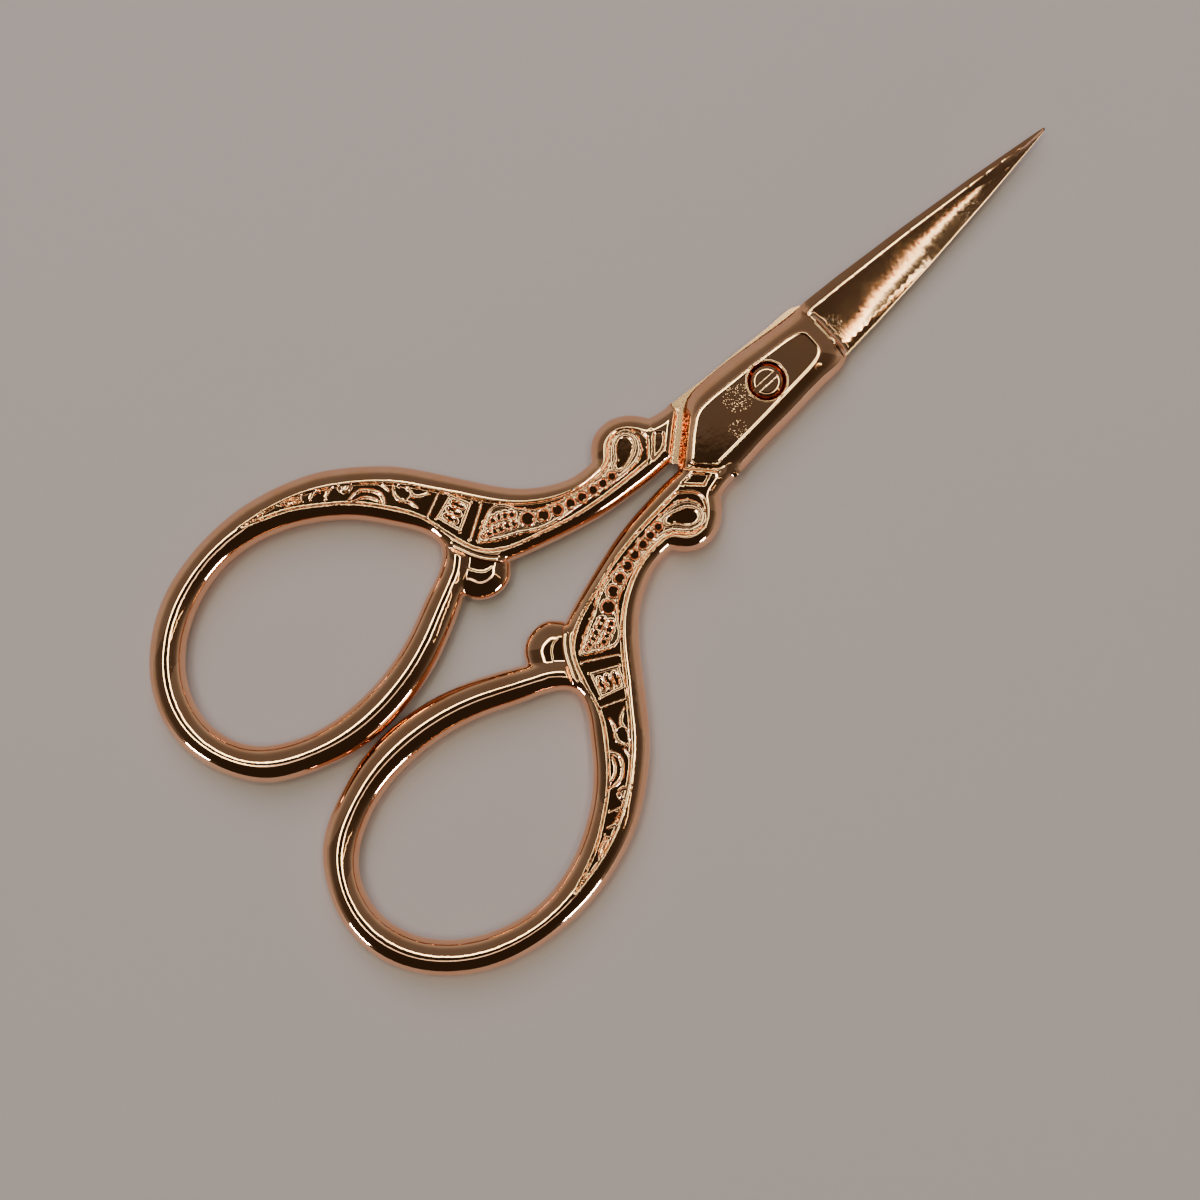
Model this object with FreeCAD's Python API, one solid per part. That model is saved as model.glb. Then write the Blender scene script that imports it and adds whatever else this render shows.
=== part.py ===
import FreeCAD, Part
import math
import os

# Small rose-gold plated embroidery scissors, closed.
# Frame: origin on the pivot axis at the lowest face, +X right, +Y to the blade tips, +Z up.
# The front half lies on top and carries the handle on +X.  The rear half is the same forging
# turned half a turn about the line along Y in the mating plane, so each outline is given once.

# ---- driving dimensions, mm ----
THICK = 3.6                 # overall thickness of the closed scissors
MATE_Z = THICK / 2          # plane where the two halves meet
MATE_GAP = 0.02             # each half stays this far off that plane
FACE_Z = MATE_Z + MATE_GAP  # flat inner face of the front half

TIP_Y = 36.7                # blade tip
EDGE_LAND = 0.10            # thickness left at the cutting edge
EDGE_INSET = 0.15           # the cutting edge stands this far inside the other blade's spine
PLATE_SIDE = 0.45           # upright side of the pivot plate below its slope

BORE_R = 1.30               # running hole through the front half
SHANK_R = 1.25              # pivot screw shank, and the tapped hole in the rear half
HEAD_R = 1.55
HEAD_H = 0.72
HEAD_CROWN = 0.13           # rise of the domed head
HEAD_GAP = 0.03             # running gap under the head
COUNTERBORE_R = 1.95
COUNTERBORE_DEPTH = 1.05
RIM_CHAMFER = 0.15
SLOT_W = 0.50
SLOT_DEPTH = 0.35

EDGE_ROUND = 1.20           # rounding along the arms and bows
ROUND_STEPS = 3             # sections in each quarter round
WALL_H = 1.30               # upright part of the step wall beside the other plate
WALL_BEVEL = 0.65           # its slope above that
RELIEF = 0.25               # depth of the sunk relief panels
ORNAMENT_H = 0.20           # height of the ornaments that stand in them
BEAD_COUNT = 8
BEAD_R = (0.42, 0.62)       # first and last bead

# ---- outlines of the front half, seen from above ----
# arm, bulge, bow and knob, clockwise from beside the pivot
HANDLE = [
    (4.45, -6.0), (4.85, -9.0), (5.2, -10.7), (6.15, -11.4), (7.1, -12.5), (7.75, -14.3), (7.45, -16.1),
    (6.75, -17.0), (6.05, -17.7), (5.85, -18.6), (5.95, -20), (6.75, -22), (8.05, -24), (10.1, -26),
    (12.85, -28), (15.65, -30), (18.25, -32), (21.0, -35), (23.1, -38), (24.8, -42), (25.75, -46),
    (25.95, -50), (25.5, -54), (24.25, -58), (21.6, -62), (17.9, -64.9), (12.8, -66.15), (7.6, -64.85),
    (3.8, -62), (1.7, -58), (0.5, -54), (0.15, -50), (0.42, -46.8), (1.6, -42), (3.35, -38),
    (4.2, -36.3), (4.4, -35.85), (4.15, -35.5), (3.5, -35.15), (2.75, -34.1), (2.45, -32.6), (2.8, -31.3),
    (3.5, -30.6), (3.75, -30.2), (3.7, -29.5), (3.2, -28), (2.3, -25), (1.5, -22), (0.95, -19),
    (0.65, -16), (0.5, -13.5), (0.5, -11.0), (1.2, -7), (3.0, -4.5)]
BOW_HOLE = [
    (9.7, -34.2), (8.45, -35.25), (7.2, -38), (5.5, -42), (4.35, -46), (3.95, -50), (4.25, -54),
    (5.6, -58), (8.0, -61.15), (12.6, -62.7), (17.3, -61.15), (20.3, -58), (22.05, -54), (22.55, -50),
    (21.8, -46), (19.9, -42), (16.9, -38.3), (13.6, -35.75), (11.1, -34.3)]
# foot and top edge of the pivot plate's slopes, point for point
PLATE_FOOT = [
    (3.3, 7.2), (3.75, 6.6), (3.92, 5.0), (4.2, 0.0), (4.42, -4.0), (4.8, -8.2), (4.9, -10.4),
    (3.6, -12.6), (0.6, -12.2), (-3.0, -8.35), (-4.05, -7.0), (-4.3, -5.0), (-4.0, 0.0), (-3.45, 5.0), (-3.2, 7.2)]
PLATE_TOP = [
    (1.0, 6.0), (1.5, 5.7), (1.8, 5.0), (2.25, 0.0), (2.5, -4.0), (2.85, -8.6), (3.3, -10.4),
    (2.6, -11.4), (1.2, -11.0), (-2.1, -7.3), (-2.4, -6.6), (-2.42, -5.0), (-2.1, 0.0), (-1.5, 5.0), (-0.9, 6.0)]
# step wall that faces the other half's plate; the room beyond it is cut away below MATE_Z
WALL = [(-1.0, -13.27), (3.85, -8.2), (6.5, -8.2)]
WALL_NORMAL = (0.72, -0.69)  # square to the wall, into the handle
# blade stations: distance along Y, half width, ridge X, ridge height, spine height
BLADE = [
    (7.1, 3.32, -2.30, 1.40, 1.00), (12.0, 2.98, -2.02, 1.28, 0.92), (20.0, 2.22, -1.45, 1.06, 0.78),
    (28.0, 1.30, -0.68, 0.82, 0.62), (34.0, 0.50, -0.08, 0.56, 0.46), (TIP_Y, 0.14, -0.02, 0.30, 0.26)]

# ---- relief along the arm ----
PANEL = [
    (2.2, -14.0), (2.2, -19), (2.9, -23), (4.0, -26.8), (5.0, -29.6), (6.6, -31.6), (8.5, -32.5), (10.3, -32.9),
    (12.8, -33.5), (15.6, -35.4), (18.6, -38.0), (20.6, -40.5), (22.3, -43.2), (23.7, -46.2),
    (23.5, -44.0), (22.6, -41.0), (21.0, -38.0), (19.0, -35.3), (16.8, -33.1), (14.0, -30.9), (11.0, -28.7),
    (8.4, -26.7), (6.5, -24.4), (5.2, -22), (4.6, -19.5), (4.7, -17.3), (5.8, -15.9), (6.3, -14.6),
    (6.1, -13.4), (5.2, -12.5), (3.9, -12.2)]
BEAD_PATH = [(3.35, -17.3), (3.7, -20.0), (4.4, -23.0), (5.85, -26.0)]
LOOP_AXIS = ((4.05, -15.4), (4.9, -14.3), 1.0)          # tear-shaped loop above the beads
BARS = [((9.8, -28.7), (8.2, -31.4), 0.35), ((13.5, -31.0), (12.7, -32.9), 0.35),
        ((14.3, -32.6), (16.2, -34.1), 0.5), ((16.2, -34.4), (18.3, -36.4), 0.7),
        ((21.0, -39.2), (22.4, -41.8), 0.6)]
BLOCK = [(5.8, -27.6), (7.0, -26.6), (8.9, -28.1), (7.4, -30.8)]
WINDOW = [(10.6, -29.5), (12.6, -30.4), (11.8, -32.3), (9.5, -31.5)]
DISC = (20.0, -37.3, 0.55)


def point(xy, z=0.0):
    return FreeCAD.Vector(xy[0], xy[1], z)


def prism(points, z, height):
    """Upright solid on a polygon."""
    corners = [point(p, z) for p in points]
    face = Part.Face(Part.makePolygon(corners + corners[:1]))
    return face.extrude(FreeCAD.Vector(0, 0, height))


def slope(lower, z_lower, upper, z_upper):
    """Solid between two polygons with the same number of corners."""
    rings = [[point(p, z) for p in points] for points, z in ((lower, z_lower), (upper, z_upper))]
    return Part.makeLoft([Part.makePolygon(r + r[:1]) for r in rings], True, True)


def rounded_slab(points, inward):
    """Full-thickness slab on a smooth closed outline, with quarter-round top and bottom edges.

    inward is 1 where the outline surrounds material and -1 where it surrounds a hole.
    """
    following = points[1:] + points[:1]
    at = [0.0]
    for a, b in zip(points, following):
        at.append(at[-1] + math.dist(a, b))
    base = Part.BSplineCurve()
    base.interpolate(Points=[point(p) for p in points], PeriodicFlag=True, Parameters=at)
    turning = sum(a[0] * b[1] - b[0] * a[1] for a, b in zip(points, following))
    side = math.copysign(inward, turning * inward)
    along = [base.tangent(u)[0] for u in at[:-1]]
    breaks = list(range(0, len(points) - 3, 4)) + [len(points)]

    def section(inset, z):
        ring = [FreeCAD.Vector(p[0] - side * t.y * inset, p[1] + side * t.x * inset, z)
                for p, t in zip(points, along)]
        ring.append(ring[0])
        heading = along + along[:1]
        edges = []
        for a, b in zip(breaks, breaks[1:]):
            piece = Part.BSplineCurve()
            piece.interpolate(Points=ring[a:b + 1], InitialTangent=heading[a], FinalTangent=heading[b])
            edges.append(piece.toShape())
        return Part.Wire(edges)

    angles = [math.radians(90.0 * k / ROUND_STEPS) for k in range(ROUND_STEPS + 1)]
    quarter = [(EDGE_ROUND * (1 - math.sin(a)), EDGE_ROUND * (1 - math.cos(a))) for a in angles]
    profile = quarter + [(inset, THICK - z) for inset, z in reversed(quarter)]
    return Part.makeLoft([section(inset, z) for inset, z in profile], True, True)


def handle():
    """Arm, bulge, knob and finger bow, with room for the other half's plate below MATE_Z."""
    solid = rounded_slab(HANDLE, 1).cut(rounded_slab(BOW_HOLE, -1))
    room = WALL + [(6.5, 1.0), (-6.5, 1.0), (-6.5, -13.27)]
    solid = solid.cut(prism(room, -1.0, FACE_Z + 1.0))
    nx, ny = WALL_NORMAL
    sloped = [(x + nx * WALL_BEVEL, y + ny * WALL_BEVEL) for x, y in WALL] + room[3:]
    return solid.cut(slope(sloped, -0.01, room, FACE_Z - WALL_H))


def plate():
    """Pivot plate: short upright sides, then slopes up to a flat raised panel."""
    foot = prism(PLATE_FOOT, FACE_Z, PLATE_SIDE)
    return foot.fuse(slope(PLATE_FOOT, FACE_Z + PLATE_SIDE, PLATE_TOP, THICK))


def blade():
    """Tapering blade: spine band on -X, ridge, and ground face falling to the edge on +X."""
    wires = []
    for y, half, ridge_x, ridge_h, spine_h in BLADE:
        edge_x = half - EDGE_INSET * half / BLADE[0][1]
        corners = [(-half, 0.0), (-half, spine_h), (ridge_x, ridge_h), (edge_x, EDGE_LAND), (edge_x, 0.0)]
        ring = [FreeCAD.Vector(x, y, FACE_Z + h) for x, h in corners]
        wires.append(Part.makePolygon(ring + ring[:1]))
    return Part.makeLoft(wires, True, True)


def bar(start, end, width, z):
    """Straight ornament with square ends."""
    length = math.dist(start, end)
    nx, ny = (end[1] - start[1]) / length * width / 2, (start[0] - end[0]) / length * width / 2
    corners = [(start[0] + nx, start[1] + ny), (end[0] + nx, end[1] + ny),
               (end[0] - nx, end[1] - ny), (start[0] - nx, start[1] - ny)]
    return prism(corners, z, ORNAMENT_H + 0.1)


def along_path(path, t):
    """Place at fraction t of a path, by its chords."""
    lengths = [math.dist(a, b) for a, b in zip(path, path[1:])]
    left = t * sum(lengths)
    for (a, b), length in zip(zip(path, path[1:]), lengths):
        if left <= length:
            break
        left -= length
    f = min(left / length, 1.0)
    return (a[0] + f * (b[0] - a[0]), a[1] + f * (b[1] - a[1]))


def ornaments(z):
    """Raised beads, loop, bars, block and window that stand from height z."""
    height = ORNAMENT_H + 0.1
    up = FreeCAD.Vector(0, 0, 1)
    solids = []
    for k in range(BEAD_COUNT):
        t = k / (BEAD_COUNT - 1)
        radius = BEAD_R[0] + t * (BEAD_R[1] - BEAD_R[0])
        solids.append(Part.makeCylinder(radius, height, point(along_path(BEAD_PATH, t), z), up))
    small, large, radius = LOOP_AXIS
    tear = Part.makeCylinder(radius, height, point(large, z), up).fuse(bar(small, large, radius, z))
    solids.append(tear.cut(Part.makeCylinder(radius * 0.55, height, point(large, z), up)))
    solids += [bar(start, end, width, z) for start, end, width in BARS]
    solids.append(prism(BLOCK, z, height))
    solids.append(prism(WINDOW, z, height))
    solids.append(Part.makeCylinder(DISC[2], height, point(DISC, z), up))
    return solids


def half():
    """One half without its pivot hole."""
    solid = plate().fuse([handle(), blade()])
    solid = solid.cut([prism(PANEL, THICK - RELIEF, 1.0), prism(PANEL, RELIEF - 1.0, 1.0)])
    top = ornaments(THICK - RELIEF - 0.1)
    bottom = ornaments(RELIEF - ORNAMENT_H)
    return solid.fuse(top + bottom).removeSplitter()


def front_half():
    """Upper half with running bore and counterbore for the screw."""
    floor = THICK - COUNTERBORE_DEPTH
    cuts = [
        Part.makeCylinder(BORE_R, THICK),
        Part.makeCylinder(COUNTERBORE_R, THICK, point((0, 0), floor)),
        Part.makeCone(COUNTERBORE_R, COUNTERBORE_R + 2 * RIM_CHAMFER, 2 * RIM_CHAMFER,
                      point((0, 0), THICK - RIM_CHAMFER))]
    return half().cut(cuts)


def rear_half():
    """The same forging turned over, with the tapped hole."""
    turned = half().rotate(point((0, 0), MATE_Z), FreeCAD.Vector(0, 1, 0), 180)
    return turned.cut(Part.makeCylinder(SHANK_R, THICK))


def pivot_screw():
    """Slotted domed screw, its end flush with the rear half's outer face."""
    seat = THICK - COUNTERBORE_DEPTH + HEAD_GAP
    shank = Part.makeCylinder(SHANK_R, seat)
    head = Part.makeCylinder(HEAD_R, HEAD_H, point((0, 0), seat))
    ball_r = (HEAD_R ** 2 + HEAD_CROWN ** 2) / (2 * HEAD_CROWN)
    top = seat + HEAD_H
    dome = Part.makeSphere(ball_r, point((0, 0), top + HEAD_CROWN - ball_r))
    dome = dome.common(Part.makeCylinder(HEAD_R, 1.0, point((0, 0), top)))
    screw = shank.fuse([head, dome]).removeSplitter()
    slot = Part.makeBox(SLOT_W, 4 * HEAD_R, 1.0,
                        FreeCAD.Vector(-SLOT_W / 2, -2 * HEAD_R, top + HEAD_CROWN - SLOT_DEPTH))
    return screw.cut(slot)


os.makedirs("parts", exist_ok=True)
for node in (front_half, rear_half, pivot_screw):
    shape = node()
    solid, = shape.Solids
    solid.exportStep("parts/%s.step" % node.__name__)
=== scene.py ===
import math

import bmesh
import bpy
import numpy as np
from mathutils import Matrix, Vector
from mathutils.geometry import delaunay_2d_cdt
from mathutils.kdtree import KDTree


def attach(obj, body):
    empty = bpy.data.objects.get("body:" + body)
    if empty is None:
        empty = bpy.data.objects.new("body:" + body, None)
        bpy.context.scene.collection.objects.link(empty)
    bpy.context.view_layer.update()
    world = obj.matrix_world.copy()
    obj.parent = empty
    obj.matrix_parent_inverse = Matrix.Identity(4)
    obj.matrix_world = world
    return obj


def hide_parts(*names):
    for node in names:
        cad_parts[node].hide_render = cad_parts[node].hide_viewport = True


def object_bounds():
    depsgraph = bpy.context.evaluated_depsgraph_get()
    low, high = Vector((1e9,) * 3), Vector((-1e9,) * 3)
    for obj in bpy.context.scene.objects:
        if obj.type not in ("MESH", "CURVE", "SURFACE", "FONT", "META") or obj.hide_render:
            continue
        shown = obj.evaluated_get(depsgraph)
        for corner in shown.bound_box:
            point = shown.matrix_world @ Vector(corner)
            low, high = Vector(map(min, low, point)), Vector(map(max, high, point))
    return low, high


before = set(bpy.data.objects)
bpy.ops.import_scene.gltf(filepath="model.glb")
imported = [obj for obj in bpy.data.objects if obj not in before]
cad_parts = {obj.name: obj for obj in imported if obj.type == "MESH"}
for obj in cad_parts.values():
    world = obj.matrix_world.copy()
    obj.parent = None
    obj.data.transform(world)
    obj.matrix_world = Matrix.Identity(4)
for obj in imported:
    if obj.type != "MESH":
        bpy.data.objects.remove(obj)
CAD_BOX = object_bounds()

# Rose-gold plated embroidery scissors, closed, lying on a pale floor.
# Shapes are worked in millimetres in the frame of the front half (handle on +X) and turned
# into metres at the end.  A half is drawn from above as one outline.  Its upper and lower
# faces are heights above and below the mating plane.  The rear half is the same shape turned
# half a turn about the line along Y in that plane.

MM = 0.001
THICK = (CAD_BOX[1].z - CAD_BOX[0].z) / MM
MID_Z = THICK / 2
TOP = THICK / 2                    # greatest height above or below the mating plane
MATE_GAP = 0.02
TIP_Y = CAD_BOX[1].y / MM

SIDE_FLAT = 0.08                   # half height of the upright band round the bows
ARM_ROUND = 1.5                    # edge rounding where the arm is wide
RECESS = 0.23                      # depth of the relief panels
RELIEF_STEP = 0.080                # point spacing in the relief
OUTLINE_STEP = 0.30
EDGE_INSET = 0.15                  # cutting edge stands inside the other blade's spine
EDGE_LAND = 0.06

BORE_R, COUNTERBORE_DEPTH = 1.30, 1.05
SHANK_R, HEAD_R, HEAD_H, HEAD_CROWN, HEAD_GAP = 1.25, 1.55, 0.72, 0.13, 0.03
SLOT_W, SLOT_DEPTH = 0.50, 0.35
RING_STEPS = 96
SEAT_Z = THICK - COUNTERBORE_DEPTH
LOW_Z = MID_Z + MATE_GAP
TOP_RING_R, LOW_RING_R = 2.02, 1.50     # open rings round the pivot in the upper and lower faces
RING_CLEAR = 0.06                  # the plan's points keep this far outside those rings
SHARP = 46                         # edges steeper than this many degrees are shaded sharp
MARKS = ("bore", "grainy", "ground", "mating")   # what the material reads from the mesh

# ---- outline of a half ----
# blade stations: distance along Y, half width, ridge X, ridge height, spine height
BLADE = [
    (7.1, 3.32, -2.30, 1.40, 1.00), (12.0, 2.98, -2.02, 1.28, 0.92), (20.0, 2.22, -1.45, 1.06, 0.78),
    (28.0, 1.30, -0.68, 0.82, 0.62), (34.0, 0.50, -0.08, 0.56, 0.46), (36.7, 0.14, -0.02, 0.30, 0.26)]
ROOT_Y = 7.55                      # step from the plate down to the ground face
PLATE_RIGHT = [
    (3.4, 7.5), (3.72, 6.8), (3.9, 5.0), (4.2, 0.0), (4.42, -4.0), (4.78, -8.2), (4.92, -9.6),
    (5.2, -10.75)]
BULGE = [
    (5.2, -10.75), (6.1, -11.4), (7.1, -12.5), (7.75, -14.3), (7.45, -16.1), (6.75, -17.05), (5.8, -17.8)]
BOW_OUTER = [
    (5.8, -17.8), (5.95, -20), (6.75, -22), (8.05, -24), (10.1, -26), (12.85, -28), (15.65, -30),
    (18.25, -32), (21.0, -35), (23.1, -38), (24.8, -42), (25.75, -46), (25.95, -50), (25.5, -54),
    (24.25, -58), (21.6, -62), (17.9, -64.9), (12.8, -66.15), (7.6, -64.85), (3.8, -62), (1.7, -58),
    (0.5, -54), (0.15, -50), (0.42, -46.8), (1.6, -42), (3.35, -38), (4.5, -35.75)]
KNOB = [
    (4.5, -35.75), (3.5, -35.2), (2.7, -34.1), (2.45, -32.6), (2.8, -31.3), (3.45, -30.6), (3.95, -30.15)]
ARM_INNER = [
    (3.95, -30.15), (3.2, -28), (2.3, -25), (1.5, -22), (0.95, -19), (0.65, -16), (0.5, -13.5),
    (0.5, -12.25)]
PLATE_LEFT = [
    (0.5, -12.25), (-2.9, -8.4), (-3.75, -7.4), (-4.2, -6.3), (-4.3, -5.0), (-4.0, 0.0), (-3.45, 5.0),
    (-3.3, 7.2)]
BOW_HOLE = [
    (9.7, -34.2), (8.45, -35.25), (7.2, -38), (5.5, -42), (4.35, -46), (3.95, -50), (4.25, -54),
    (5.6, -58), (8.0, -61.15), (12.6, -62.7), (17.3, -61.15), (20.3, -58), (22.05, -54), (22.55, -50),
    (21.8, -46), (19.9, -42), (16.9, -38.3), (13.6, -35.75), (11.1, -34.3)]

RIDGE_ROUND = 0.024                # softening of the blade's ridge
RIM_LIP = 0.028                    # rim round the flat panel
SLOPE_START = 0.42                 # steepness of the plate's slopes where they leave the panel
PANEL_Z = MID_Z + TOP - RIM_LIP

# ---- features ----
PLATE_TOP = [                      # flat raised panel round the screw
    (0.75, 6.0), (1.35, 5.8), (1.75, 5.2), (1.98, 4.0), (2.25, 0.0), (2.5, -4.0), (2.7, -8.2), (2.74, -9.0),
    (0.92, -10.78), (-1.0, -8.75), (-2.1, -7.35), (-2.4, -6.5), (-2.42, -5.0), (-2.1, 0.0), (-1.72, 4.0),
    (-1.5, 5.2), (-1.15, 5.8), (-0.7, 6.0)]
PLATE_END = [(3.15, -9.2), (0.9, -11.3)]         # foot of the wall between the panel and the bolster
BOLSTER = [(1.55, -11.3), (3.0, -9.95), (3.1, -10.35), (3.5, -11.25), (1.68, -13.1)]
GROOVE = 0.24                      # depth of the groove between the plate and the bolster
PANEL_HEAD = [
    (1.95, -13.8), (3.75, -12.1), (4.6, -12.2), (5.5, -12.75), (6.2, -13.6), (6.4, -14.6), (5.9, -15.8),
    (4.95, -16.8), (4.65, -17.6)]
PANEL_OUTER = [
    (4.65, -17.6), (4.7, -19.5), (5.3, -22), (6.6, -24.4), (8.5, -26.6), (11.1, -28.7), (14.1, -30.9),
    (16.9, -33.1), (19.1, -35.3), (21.1, -38), (22.7, -41), (23.7, -44.2), (24.2, -47.6)]
PANEL_INNER = [
    (24.2, -47.6), (23.3, -45.6), (22.3, -43.2), (20.6, -40.5), (18.6, -38.0), (15.6, -35.4),
    (12.8, -33.7), (10.3, -33.0), (8.5, -32.5), (6.6, -31.6), (5.0, -29.6), (4.0, -26.8), (2.9, -23),
    (2.25, -19), (1.95, -13.8)]
# the arm's edge over the knob, and the middle line of the bow's wire under it
SHOULDER = [(3.95, -30.15), (4.6, -31.0), (5.5, -31.9), (6.8, -32.7), (8.3, -33.35), (9.7, -34.15)]
TUBE = [(8.1, -33.3), (7.1, -34.4), (6.25, -35.9), (5.35, -37.8), (4.45, -39.8)]
TUBE_R = 1.7
WALL = [(0.0, -12.7), (3.85, -8.25), (5.3, -8.25)]     # step wall beside the other plate
# sunk facet and raised bar on the inner face, past the step wall
INNER_RING = [
    (1.75, -13.5), (1.8, -12.3), (2.1, -11.5), (2.7, -10.9), (3.15, -10.7), (3.55, -11.0), (3.7, -11.5),
    (3.3, -12.0)]
INNER_BAR = [(1.85, -13.75), (4.2, -11.45)]


def spline(points, step, closed=False):
    """Even points on the smooth curve through the given ones."""
    p = np.array(points, float)
    if closed:
        p = np.vstack([p, p[:1]])
    gap = np.hypot(*np.diff(p, axis=0).T)
    at = np.concatenate([[0], np.cumsum(gap)])
    slope = np.diff(p, axis=0) / gap[:, None]
    n = len(p)
    a, b = np.zeros((n, n)), np.zeros((n, 2))
    for i in range(1, n - 1):
        a[i, i - 1:i + 2] = gap[i - 1], 2 * (gap[i - 1] + gap[i]), gap[i]
        b[i] = 6 * (slope[i] - slope[i - 1])
    if closed:
        a[0, 0], a[0, -1] = 1, -1
        a[-1, -2], a[-1, 0], a[-1, 1] = gap[-1], 2 * (gap[-1] + gap[0]), gap[0]
        b[-1] = 6 * (slope[0] - slope[-1])
    else:
        a[0, 0] = a[-1, -1] = 1
    bend = np.linalg.solve(a, b)
    count = max(2, int(math.ceil(at[-1] / step)))
    t = np.linspace(0, at[-1], count + 1)
    i = np.clip(np.searchsorted(at, t, "right") - 1, 0, n - 2)
    u, g = (t - at[i])[:, None], gap[i][:, None]
    curve = (p[i] + u * (slope[i] - g * (2 * bend[i] + bend[i + 1]) / 6)
             + u ** 2 * bend[i] / 2 + u ** 3 * (bend[i + 1] - bend[i]) / (6 * g))
    return curve[:-1] if closed else curve


def straight(points, step):
    """Even points along straight runs, with every corner kept."""
    out = []
    for a, b in zip(points, points[1:]):
        a, b = np.array(a, float), np.array(b, float)
        n = max(1, int(math.ceil(np.linalg.norm(b - a) / step)))
        out += [a + (b - a) * k / n for k in range(n)]
    return np.array(out + [np.array(points[-1], float)])


def distance(p, line, closed=False):
    """Distance from each point to a polyline."""
    a = np.asarray(line, float)
    b = np.roll(a, -1, 0)
    if not closed:
        a, b = a[:-1], b[:-1]
    ax, ay = a.T
    rx, ry = (b - a).T
    length2 = np.maximum(rx * rx + ry * ry, 1e-12)
    out = np.empty(len(p))
    for k in range(0, len(p), 2000):
        dx = p[k:k + 2000, :1] - ax
        dy = p[k:k + 2000, 1:] - ay
        t = np.clip((dx * rx + dy * ry) / length2, 0, 1)
        dx -= t * rx
        dy -= t * ry
        out[k:k + 2000] = np.sqrt((dx * dx + dy * dy).min(1))
    return out


def near_box(p, line, margin):
    """Points within a margin of a line's box."""
    low, high = np.min(line, 0) - margin, np.max(line, 0) + margin
    return ((p > low) & (p < high)).all(1)


def inside(p, ring):
    """Whether each point is inside a closed ring."""
    a = np.asarray(ring, float)
    b = np.roll(a, -1, 0)
    hit = np.zeros(len(p), bool)
    for (x0, y0), (x1, y1) in zip(a, b):
        if y0 != y1:
            cross = (y0 > p[:, 1]) != (y1 > p[:, 1])
            hit ^= cross & (p[:, 0] < (x1 - x0) * (p[:, 1] - y0) / (y1 - y0) + x0)
    return hit


def depth_in(p, ring):
    """Distance to a closed ring, positive inside."""
    return np.where(inside(p, ring), 1, -1) * distance(p, ring, True)


def smooth(x):
    """Rise from 0 to 1, flat at both ends."""
    x = np.clip(x, 0, 1)
    return x * x * (3 - 2 * x)


def quarter(x):
    """Quarter-round rise from 0 to 1."""
    return np.sqrt(np.clip(1 - (1 - np.clip(x, 0, 1)) ** 2, 0, 1))


def soft_min(a, b, soft):
    """Smaller of two heights, with the crease between them rounded."""
    return np.minimum(a, b) - soft * np.log1p(np.exp(-np.abs(a - b) / soft))


def side_of(p, line):
    """Signed distance from the straight line through two points, positive on its left."""
    (x0, y0), (x1, y1) = line
    length = math.hypot(x1 - x0, y1 - y0)
    return ((x1 - x0) * (p[:, 1] - y0) - (y1 - y0) * (p[:, 0] - x0)) / length


def blade_at(y):
    """Half width, ridge X, ridge height and spine height at distance y."""
    table = np.array(BLADE)
    return [np.interp(y, table[:, 0], table[:, k]) for k in (1, 2, 3, 4)]


# ---- outline loops ----
def blade_side(sign):
    """Cutting side (1) or spine side (-1) of the blade, from the root to just under the tip."""
    ys = np.linspace(ROOT_Y, TIP_Y - 0.12, 60)
    half = blade_at(ys)[0]
    if sign > 0:
        half = half - EDGE_INSET * half / BLADE[0][1]
    return np.column_stack([sign * half, ys])


def join(*lines):
    """One loop from stretches that share their end points."""
    return np.vstack([line[:-1] for line in lines])


RIGHT = blade_side(1)[::-1]
LEFT = blade_side(-1)
PLATE_R = straight([tuple(RIGHT[-1])] + PLATE_RIGHT[:1], OUTLINE_STEP)
PLATE_R2 = spline(PLATE_RIGHT, OUTLINE_STEP)
HANDLE_RIM = [spline(s, OUTLINE_STEP) for s in (BULGE, BOW_OUTER, KNOB, ARM_INNER)]
DIAG = straight(PLATE_LEFT[:2], OUTLINE_STEP)
PLATE_L2 = spline(PLATE_LEFT[1:] + [tuple(LEFT[0])], OUTLINE_STEP)
TIP = np.array([LEFT[-1], (0.0, TIP_Y), RIGHT[0]])
OUTLINE = join(RIGHT, PLATE_R, PLATE_R2, *HANDLE_RIM, DIAG, PLATE_L2, LEFT, TIP)
HOLE = spline(BOW_HOLE, OUTLINE_STEP, closed=True)
HANDLE_EDGE = np.vstack([PLATE_R2[-8:-1]] + [s[:-1] for s in HANDLE_RIM] + [DIAG])
PLATE_EDGE = np.vstack([DIAG, PLATE_L2, [[-3.3, 7.6], [-3.3, 12.0]]])
PLATE_EDGE_R = np.vstack([[[3.3, 12.0]], PLATE_R, PLATE_R2])
PANEL_RING = np.vstack([spline(s, 0.15)[:-1] for s in (PANEL_HEAD, PANEL_OUTER, PANEL_INNER)])
SHOULDER_LINE = spline(SHOULDER, 0.15)
KNOB_LINE = spline([(4.75, -30.4), (4.68, -31.4), (4.8, -32.6), (5.6, -33.4), (7.0, -33.95)], 0.1)
KNOB_FACET = np.vstack([KNOB_LINE, [(9.6, -33.6), (8.0, -31.6), (5.2, -29.6)]])
KNOB_ROOM = np.vstack([
    SHOULDER_LINE, [(8.4, -35.2), (7.7, -36.6), (3.5, -36.6), (1.5, -35.5), (1.5, -30.6)]])


def rounded_ring(corners, step, radius):
    """Closed ring through the corners with each one rounded off."""
    out = []
    c = np.array(corners, float)
    for k in range(len(c)):
        a, b, d = c[k - 1], c[k], c[(k + 1) % len(c)]
        r1 = min(radius, np.linalg.norm(a - b) * 0.45)
        r2 = min(radius, np.linalg.norm(d - b) * 0.45)
        p0 = b + (a - b) / np.linalg.norm(a - b) * r1
        p2 = b + (d - b) / np.linalg.norm(d - b) * r2
        for t in np.linspace(0, 1, 5):
            out.append((1 - t) ** 2 * p0 + 2 * t * (1 - t) * b + t ** 2 * p2)
    return straight([tuple(v) for v in out + out[:1]], step)[:-1]


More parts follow.
